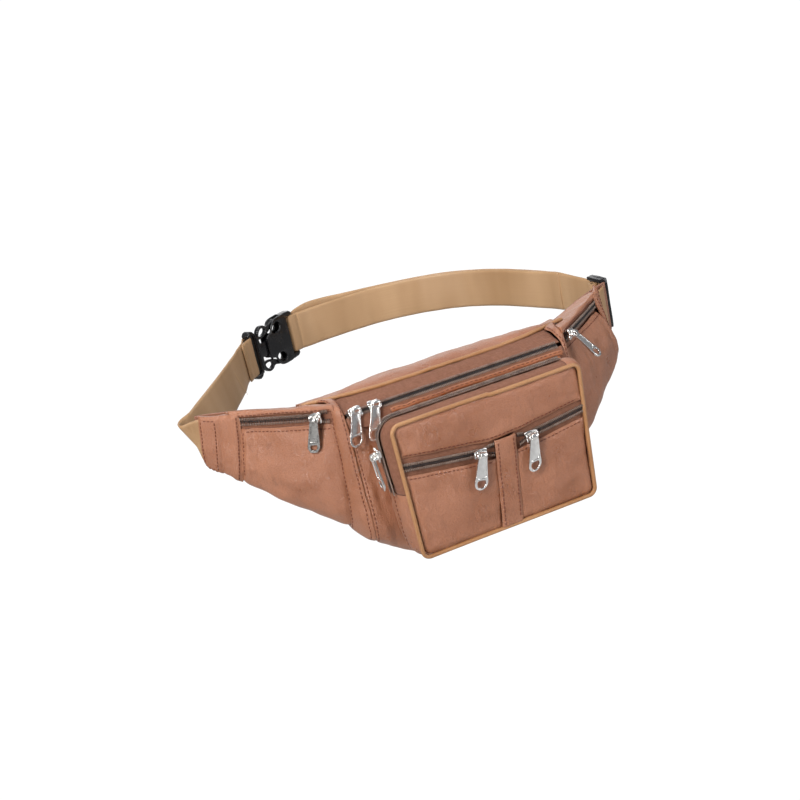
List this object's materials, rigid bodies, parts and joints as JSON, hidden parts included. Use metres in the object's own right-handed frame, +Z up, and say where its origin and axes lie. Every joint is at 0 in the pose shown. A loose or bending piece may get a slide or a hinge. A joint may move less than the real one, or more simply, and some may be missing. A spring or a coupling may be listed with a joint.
{
  "type": "waist pack",
  "caption": "Soft leather waist pack with a boxed front pocket, zipped compartments and a webbing belt closed by a side-release buckle.",
  "frame": {"origin": "centre of the back panel's outer face, which lies against the wearer", "axes": "+Y out of the back panel toward the wearer, +Z up as worn, +X to the right seen from the front"},
  "size_m": [0.3773, 0.3657, 0.132],
  "materials": {
    "leather": "soft semi-gloss grain",
    "piping": "smooth",
    "zip_tape": "woven",
    "zip_coil": "ribbed nylon",
    "webbing": "satin webbing",
    "nickel": "polished nickel plate",
    "black_plastic": "moulded gloss"
  },
  "bodies": {
    "pack": {"back_panel": "leather", "belt_buckle_loop": "webbing", "belt_inner_layer": "webbing", "belt_outer_layer": "webbing", "buckle_female": "black_plastic", "buckle_male": "black_plastic", "front_left_zip_coil": "zip_coil", "front_left_zip_tape": "zip_tape", "front_right_zip_coil": "zip_coil", "front_right_zip_tape": "zip_tape", "left_band": "leather", "left_strap": "webbing", "left_strap_loop": "webbing", "left_tab": "leather", "left_wing_panel": "leather", "left_wing_top_strip": "leather", "left_wing_zip_coil": "zip_coil", "left_wing_zip_tape": "zip_tape", "main_front_panel": "leather", "main_piping": "piping", "main_top_gusset": "leather", "main_zip_coil": "zip_coil", "main_zip_lower_tape": "zip_tape", "main_zip_upper_tape": "zip_tape", "pocket_divider": "leather", "pocket_front_gusset": "leather", "pocket_gusset_zip_coil": "zip_coil", "pocket_left_panel": "leather", "pocket_piping": "piping", "pocket_rear_gusset": "leather", "pocket_right_panel": "leather", "pocket_upper_panel": "leather", "right_band": "leather", "right_tab": "leather", "right_wing_panel": "leather", "right_wing_top_strip": "leather", "right_wing_zip_coil": "zip_coil", "right_wing_zip_tape": "zip_tape"},
    "main_left_slider": {"main_left_slider": "nickel"},
    "main_left_pull": {"main_left_pull": "nickel"},
    "main_right_slider": {"main_right_slider": "nickel"},
    "main_right_pull": {"main_right_pull": "nickel"},
    "left_wing_slider": {"left_wing_slider": "nickel"},
    "left_wing_pull": {"left_wing_pull": "nickel"},
    "right_wing_slider": {"right_wing_slider": "nickel"},
    "right_wing_pull": {"right_wing_pull": "nickel"},
    "pocket_side_slider": {"pocket_side_slider": "nickel"},
    "pocket_side_pull": {"pocket_side_pull": "nickel"},
    "front_left_slider": {"front_left_slider": "nickel"},
    "front_left_pull": {"front_left_pull": "nickel"},
    "front_right_slider": {"front_right_slider": "nickel"},
    "front_right_pull": {"front_right_pull": "nickel"},
    "buckle_arm_upper": {"buckle_arm_upper": "black_plastic"},
    "buckle_arm_lower": {"buckle_arm_lower": "black_plastic"},
    "strap_adjuster": {"strap_adjuster": "black_plastic", "adjuster_web_loop": "webbing"}
  },
  "joints": [
    {"name": "main_left_slide", "type": "slide", "parent": "pack", "child": "main_left_slider", "axis": [1, 0, 0], "range_m": [0, 0.003]},
    {"name": "main_left_swing", "type": "hinge", "parent": "main_left_slider", "child": "main_left_pull", "pos_m": [-0.0832, -0.05124, 0.04644], "axis": [-1, 0, 0], "range_deg": [0, 150]},
    {"name": "main_right_slide", "type": "slide", "parent": "pack", "child": "main_right_slider", "axis": [1, 0, 0], "range_m": [0, 0.144]},
    {"name": "main_right_swing", "type": "hinge", "parent": "main_right_slider", "child": "main_right_pull", "pos_m": [-0.0671, -0.05124, 0.04644], "axis": [-1, 0, 0], "range_deg": [0, 150]},
    {"name": "left_wing_slide", "type": "slide", "parent": "pack", "child": "left_wing_slider", "axis": [-0.7501, 0.6613, 0], "range_m": [0, 0.058]},
    {"name": "left_wing_swing", "type": "hinge", "parent": "left_wing_slider", "child": "left_wing_pull", "pos_m": [-0.11154, -0.03601, 0.0432], "axis": [-0.7501, 0.6613, 0], "range_deg": [0, 150]},
    {"name": "right_wing_slide", "type": "slide", "parent": "pack", "child": "right_wing_slider", "axis": [0.7501, 0.6613, 0], "range_m": [0, 0.062]},
    {"name": "right_wing_swing", "type": "hinge", "parent": "right_wing_slider", "child": "right_wing_pull", "pos_m": [0.10854, -0.03866, 0.0432], "axis": [-0.7501, -0.6613, 0], "range_deg": [-40, 110]},
    {"name": "pocket_side_slide", "type": "slide", "parent": "pack", "child": "pocket_side_slider", "axis": [0.0723, 0, -0.9974], "range_m": [-0.004, 0.022]},
    {"name": "pocket_side_swing", "type": "hinge", "parent": "pocket_side_slider", "child": "pocket_side_pull", "pos_m": [-0.08946, -0.0885, 0.02157], "axis": [0, 1, 0], "range_deg": [0, 150]},
    {"name": "front_left_slide", "type": "slide", "parent": "pack", "child": "front_left_slider", "axis": [-0.9899, 0, 0.1414], "range_m": [-0.006, 0.052]},
    {"name": "front_left_swing", "type": "hinge", "parent": "front_left_slider", "child": "front_left_pull", "pos_m": [-0.0145, -0.1078, 0.00313], "axis": [-0.9899, 0, 0.1414], "range_deg": [0, 150]},
    {"name": "front_right_slide", "type": "slide", "parent": "pack", "child": "front_right_slider", "axis": [0.9937, 0, 0.1124], "range_m": [-0.004, 0.038]},
    {"name": "front_right_swing", "type": "hinge", "parent": "front_right_slider", "child": "front_right_pull", "pos_m": [0.0275, -0.1078, 0.00354], "axis": [-0.9937, 0, -0.1124], "range_deg": [0, 150]},
    {"name": "buckle_arm_upper_flex", "type": "hinge", "parent": "pack", "child": "buckle_arm_upper", "pos_m": [-0.08318, 0.21971, 0.042], "axis": [-0.5621, 0.8271, 0], "range_deg": [0, 6], "stiffness_Nm_per_rad": 1.5},
    {"name": "buckle_arm_lower_flex", "type": "hinge", "parent": "pack", "child": "buckle_arm_lower", "pos_m": [-0.08318, 0.21971, 0.016], "axis": [0.5621, -0.8271, 0], "range_deg": [0, 6], "stiffness_Nm_per_rad": 1.5},
    {"name": "strap_adjuster_slide", "type": "slide", "parent": "pack", "child": "strap_adjuster", "axis": [-0.0918, 0.9958, 0], "range_m": [0, 0.04]}
  ]
}
